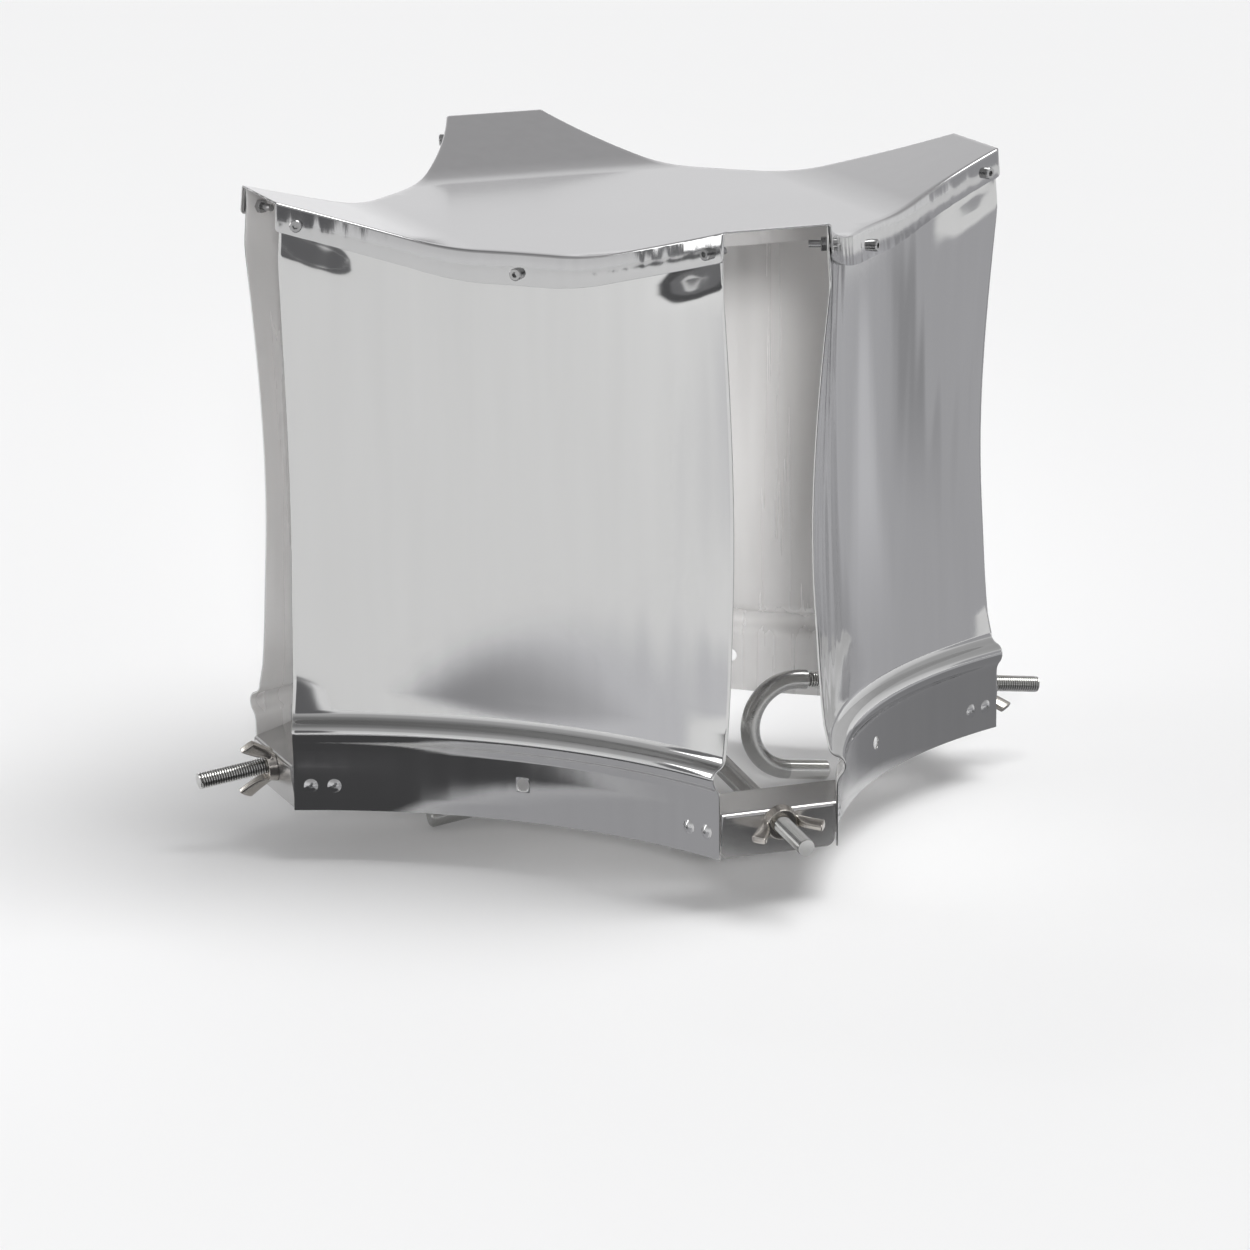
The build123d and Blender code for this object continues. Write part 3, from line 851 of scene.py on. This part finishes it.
# The flanges' darker colour is partly painted shade, for the reflection that their crimps scatter; the
# crimps themselves are bump
crimped_sheet_painted_shade = make_steel("crimped_sheet_painted_shade", (0.56, 0.56, 0.56),
                           0.12, 0.05, 230.0, (1, 1, 0.06), 0.5, streak=0.6)
bracket_steel = make_steel("bracket_steel", (0.58, 0.575, 0.57),
                           0.22, 0.06, 60.0, (1, 1, 18), 0.04, metallic=0.92)
rivet_steel = make_steel("rivet_steel", (0.62, 0.62, 0.62), 0.16, 0.04, 900.0, (1, 1, 1), 0.05)
screw_steel = make_steel("screw_steel", (0.42, 0.42, 0.42), 0.20, 0.05, 900.0, (1, 1, 1), 0.05)
hook_steel = make_steel("hook_steel", (0.50, 0.50, 0.49), 0.26, 0.05, 1500.0, (1, 1, 1), 0.05)
cast_nickel = make_steel("cast_nickel", (0.60, 0.57, 0.53), 0.20, 0.06, 700.0, (1, 1, 1), 0.12)
thread_steel = make_steel("thread_steel", (0.72, 0.72, 0.70), 0.16, 0.04, 900.0, (1, 1, 1), 0.05)
# The dark valley colour is painted shade, with some oily dirt
thread_valley_painted_shade = make_steel("thread_valley_painted_shade", (0.16, 0.155, 0.15), 0.35, 0.05, 900.0, (1, 1, 1), 0.05)
sawn_steel = make_steel("sawn_steel", (0.62, 0.62, 0.61), 0.50, 0.08, 900.0, (1, 1, 1), 0.3, metallic=0.5)


# %% Give each piece its steel
def dress(piece, steel):
    piece.data.materials.clear()
    piece.data.materials.append(steel)


for piece in panels:
    dress(piece, bright_sheet)
    # Faces that look inwards take the inner sheet, whose pale colour is painted light
    piece.data.materials.append(inner_sheet_painted_light)
    for face in piece.data.polygons:
        if face.normal.dot(Vector((face.center.x, face.center.y, 0))) < -0.05 * face.center.length:
            face.material_index = 1
dress(cap, cap_sheet)
cap.data.materials.append(crimped_sheet_painted_shade)
# Upright faces of the cap take the crimped sheet, whose darker colour is partly painted shade
for face in cap.data.polygons:
    if abs(face.normal.z) < 0.5:
        face.material_index = 1
print(cap.name, "and", len(panels), "panels are dressed")

# %% Give the bolts a bright thread, with painted shade in its valleys
for corner, bolt in enumerate(bolts):
    dress(bolt, hook_steel)
    bolt.data.materials.append(thread_steel)
    bolt.data.materials.append(thread_valley_painted_shade)
    bolt.data.materials.append(sawn_steel)
    bench = (bolt_place(corner) @ Matrix.Translation((0, 0, bolt_shifts[corner]))).inverted()
    shoulder = -(thread_starts[corner] + face_past_corner) / math.cos(bolt_slope)
    for face in bolt.data.polygons:
        place = bench @ face.center
        if place.z > shoulder:
            # Faces deep in the valleys get the dark colour, which is painted shade
            deep = place.to_2d().length < thread_root + 0.35 * (thread_radius - thread_root)
            face.material_index = 2 if deep and place.z < tail_length - sawn_length else 1
        if place.z > tail_length - 0.3 * mm:
            face.material_index = 3
for nut in nuts:
    dress(nut, cast_nickel)

# %% Dress the CAD nodes through their slots
for name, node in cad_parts.items():
    if name.endswith("bracket"):
        steel = bracket_steel
    elif name.endswith("rivets"):
        steel = rivet_steel
    elif name.endswith("hook_bolt"):
        steel = hook_steel
    elif name.endswith("wing_nut"):
        steel = cast_nickel
    elif name.endswith(("cap_screws", "cap_nuts")):
        steel = screw_steel
    else:
        steel = bright_sheet
    for number in range(len(node.material_slots)):
        node.material_slots[number].material = steel
    if not node.material_slots:
        node.data.materials.append(steel)
print(len(bpy.data.materials), "materials")

# %% [markdown]
# ## Floor, light and camera
#
# Bright steel is a picture of what stands around it, so the surroundings matter as much as the lamps.
# A wide pale floor and a world that is brightest at the horizon give the soft greys. Flags then draw the
# dark bands: they are cards that only the reflections see, each with soft edges and its own grey. A wide
# sun from above and a soft lamp at the left give the highlights. A spot beside the camera lights the dull
# inside of the open corner, and the reflections don't see it. The camera's angles and distance were
# solved from the corners of the cap and the skirts in the photograph.

# %% Floor
bpy.ops.object.select_all(action="DESELECT")
bpy.ops.mesh.primitive_plane_add(size=12, location=(0, 0, cad_box[0][2] - 0.0005))
floor = bpy.context.object
floor.name = "floor"
paint = bpy.data.materials.new("floor_paint")
paint.use_nodes = True
paint.node_tree.nodes["Principled BSDF"].inputs["Base Color"].default_value = (0.86, 0.86, 0.86, 1)
paint.node_tree.nodes["Principled BSDF"].inputs["Roughness"].default_value = 0.9
floor.data.materials.append(paint)

# %% World: a bright band above the horizon, darker overhead
world = bpy.data.worlds.new("studio")
bpy.context.scene.world = world
world.use_nodes = True
sky = world.node_tree
direction = sky.nodes.new("ShaderNodeTexCoord")
split = sky.nodes.new("ShaderNodeSeparateXYZ")
bands = sky.nodes.new("ShaderNodeValToRGB")
stops = [(0.0, 0.95), (0.12, 0.86), (0.34, 0.74), (0.44, 0.52), (0.75, 0.44), (0.90, 0.28), (1.0, 0.22)]
for number, (height, grey) in enumerate(stops):
    if number < 2:
        stop = bands.color_ramp.elements[number]
        stop.position = height
    else:
        stop = bands.color_ramp.elements.new(height)
    stop.color = (grey, grey, grey * 1.01, 1)
sky.links.new(direction.outputs["Generated"], split.inputs["Vector"])
sky.links.new(split.outputs["Z"], bands.inputs["Fac"])
sky.links.new(bands.outputs["Color"], sky.nodes["Background"].inputs["Color"])
sky.nodes["Background"].inputs["Strength"].default_value = 1.0


# %% Dark flags that only the reflections see
def add_flag(name, place, size, grey, core, turn=(0, 0, 0)):
    # A photographer's flag: it has soft edges, casts no shadow and isn't seen by the camera
    bpy.ops.object.select_all(action="DESELECT")
    bpy.ops.mesh.primitive_plane_add(size=1, location=place, rotation=turn)
    flag = bpy.context.object
    flag.name = name
    flag.scale = (size[0], size[1], 1)
    felt = bpy.data.materials.new(name + "_felt")
    felt.use_nodes = True
    nodes, links = felt.node_tree.nodes, felt.node_tree.links
    nodes.remove(nodes["Principled BSDF"])
    dark = nodes.new("ShaderNodeEmission")
    dark.inputs["Color"].default_value = (grey, grey, grey * 1.04, 1)
    clear = nodes.new("ShaderNodeBsdfTransparent")
    place_node = nodes.new("ShaderNodeTexCoord")
    centre = nodes.new("ShaderNodeMapping")
    centre.vector_type = "POINT"
    centre.inputs["Location"].default_value = (-1, -1, 0)
    centre.inputs["Scale"].default_value = (2, 2, 0)
    links.new(place_node.outputs["Generated"], centre.inputs["Vector"])
    # The fourth power makes the flag a rounded rectangle
    square = nodes.new("ShaderNodeVectorMath")
    square.operation = "MULTIPLY"
    links.new(centre.outputs["Vector"], square.inputs[0])
    links.new(centre.outputs["Vector"], square.inputs[1])
    size_of = nodes.new("ShaderNodeVectorMath")
    size_of.operation = "LENGTH"
    links.new(square.outputs["Vector"], size_of.inputs[0])
    far = nodes.new("ShaderNodeMath")
    far.operation = "SQRT"
    links.new(size_of.outputs["Value"], far.inputs[0])
    soft = nodes.new("ShaderNodeMapRange")
    soft.interpolation_type = "SMOOTHSTEP"
    soft.inputs["From Min"].default_value = core
    soft.inputs["From Max"].default_value = 1.0
    links.new(far.outputs["Value"], soft.inputs["Value"])
    mix = nodes.new("ShaderNodeMixShader")
    links.new(soft.outputs["Result"], mix.inputs["Fac"])
    links.new(dark.outputs["Emission"], mix.inputs[1])
    links.new(clear.outputs["BSDF"], mix.inputs[2])
    links.new(mix.outputs["Shader"], nodes["Material Output"].inputs["Surface"])
    flag.data.materials.append(felt)
    flag.visible_camera = False
    flag.visible_diffuse = False
    flag.visible_shadow = False
    flag.visible_transmission = False
    return flag


# %% Place the flags
low = cad_box[0][2] + 0.004
add_flag("front_soft_flag", (-0.35, -0.45, low), (0.90, 0.52), 0.72, 0.3)
add_flag("front_smoke_flag", (-0.10, -0.50, low + 0.001), (0.34, 0.28), 0.36, 0.1)
add_flag("front_pale_flag", (0.02, -0.27, low + 0.001), (0.22, 0.30), 0.44, 0.6)
add_flag("front_dark_flag", (-0.125, -0.29, low + 0.002), (0.130, 0.26), 0.07, 0.84)
add_flag("front_far_flag", (1.5, -3.3, low), (2.0, 2.2), 0.16, 0.8)
add_flag("left_far_flag", (-3.0, -1.15, low), (2.6, 1.5), 0.20, 0.8)
add_flag("corner_flag", (0.30, -0.25, low + 0.003), (0.34, 0.30), 0.06, 0.6)
add_flag("right_flag", (0.78, 0.90, low), (1.9, 2.2), 0.50, 0.6)
add_flag("right_near_flag", (0.28, 0.17, low + 0.001), (0.36, 0.26), 0.26, 0.5)
add_flag("right_near_strip", (0.17, 0.75, low + 0.001), (0.24, 1.3), 0.36, 0.4)
add_flag("right_pale_strip", (0.50, 1.00, low + 0.002), (0.18, 1.5), 0.66, 0.2, (0, 0, -0.3))
add_flag("right_dark_strip", (0.88, 1.15, low + 0.003), (0.30, 1.3), 0.36, 0.2, (0, 0, -0.5))
add_flag("right_front_flag", (0.95, -1.25, low), (1.1, 1.5), 0.10, 0.6)
add_flag("left_front_flag", (-1.95, -1.20, low + 0.001), (1.0, 1.6), 0.10, 0.6)
add_flag("far_end_flag", (2.7, -4.4, 0.90), (4.0, 2.6), 0.16, 0.88, (math.pi / 2, 0, 0))
add_flag("left_end_flag", (-4.2, -0.6, 1.00), (5.4, 2.8), 0.20, 0.88, (math.pi / 2, 0, math.pi / 2))
add_flag("right_end_flag", (4.2, 0.0, 0.70), (7.0, 1.8), 0.45, 0.8, (math.pi / 2, 0, math.pi / 2))

# %% Lamps
def add_sun(name, place, width, strength):
    bpy.ops.object.select_all(action="DESELECT")
    bpy.ops.object.light_add(type="SUN", location=place)
    lamp = bpy.context.object
    lamp.name = name
    lamp.data.angle = math.radians(width)
    lamp.data.energy = strength
    lamp.rotation_euler = (-Vector(place)).to_track_quat("-Z", "Y").to_euler()
    return lamp


def add_lamp(name, place, aim, size, power):
    bpy.ops.object.select_all(action="DESELECT")
    bpy.ops.object.light_add(type="AREA", location=place)
    lamp = bpy.context.object
    lamp.name = name
    lamp.data.shape = "RECTANGLE"
    lamp.data.size, lamp.data.size_y = size
    lamp.data.energy = power
    lamp.rotation_euler = (Vector(aim) - Vector(place)).to_track_quat("-Z", "Y").to_euler()
    return lamp


key = add_sun("key_lamp", (0.9, 0.4, 2.5), 40, 2.0)
fill = add_lamp("fill_lamp", (-2.6, -1.0, 1.0), (0, 0, 0.15), (0.8, 1.6), 10)

# %% A spot beside the camera, which shines into the open corner
spot_place, spot_aim = Vector((1.21, -2.39, 0.98)), Vector((0.03, 0.03, 0.17))
bpy.ops.object.select_all(action="DESELECT")
bpy.ops.object.light_add(type="SPOT", location=spot_place)
spot = bpy.context.object
spot.name = "corner_spot"
spot.data.energy = 300
spot.data.spot_size = math.radians(9)
spot.data.spot_blend = 0.6
spot.data.shadow_soft_size = 0.2
# From behind, the flat of the cap would mirror it as a white patch
spot.visible_glossy = False
spot.rotation_euler = (spot_aim - spot_place).to_track_quat("-Z", "Y").to_euler()
print("lamps:", key.name, fill.name, spot.name)

# %% Camera
photo_side, centre_pixel, sensor_width = 1250, 630.975, 36.0
azimuth, elevation, roll = 0.4127385, 0.2535204, -0.0098476
distance, aim_height, pixels_per_radian = 2.96915, 0.07707, 5094.32
back = Vector((math.sin(azimuth) * math.cos(elevation), -math.cos(azimuth) * math.cos(elevation),
               math.sin(elevation)))
level = Vector((math.cos(azimuth), math.sin(azimuth), 0))
upright = back.cross(level)
across = level * math.cos(roll) + upright * math.sin(roll)
upwards = upright * math.cos(roll) - level * math.sin(roll)
clear_selection()
bpy.ops.object.camera_add(location=(0, 0, 0))
camera = bpy.context.object
camera.name = "photo_camera"
turned = Matrix((across, upwards, back)).transposed().to_4x4()
turned.translation = back * distance + Vector((0, 0, aim_height))
camera.matrix_world = turned
camera.data.sensor_width = sensor_width
camera.data.lens = pixels_per_radian / photo_side * sensor_width
camera.data.shift_x = (photo_side / 2 - centre_pixel) / photo_side
camera.data.clip_end = 50.0
bpy.context.scene.camera = camera
bpy.context.scene.view_settings.view_transform = "Standard"
print("lens", round(camera.data.lens, 1), "mm")
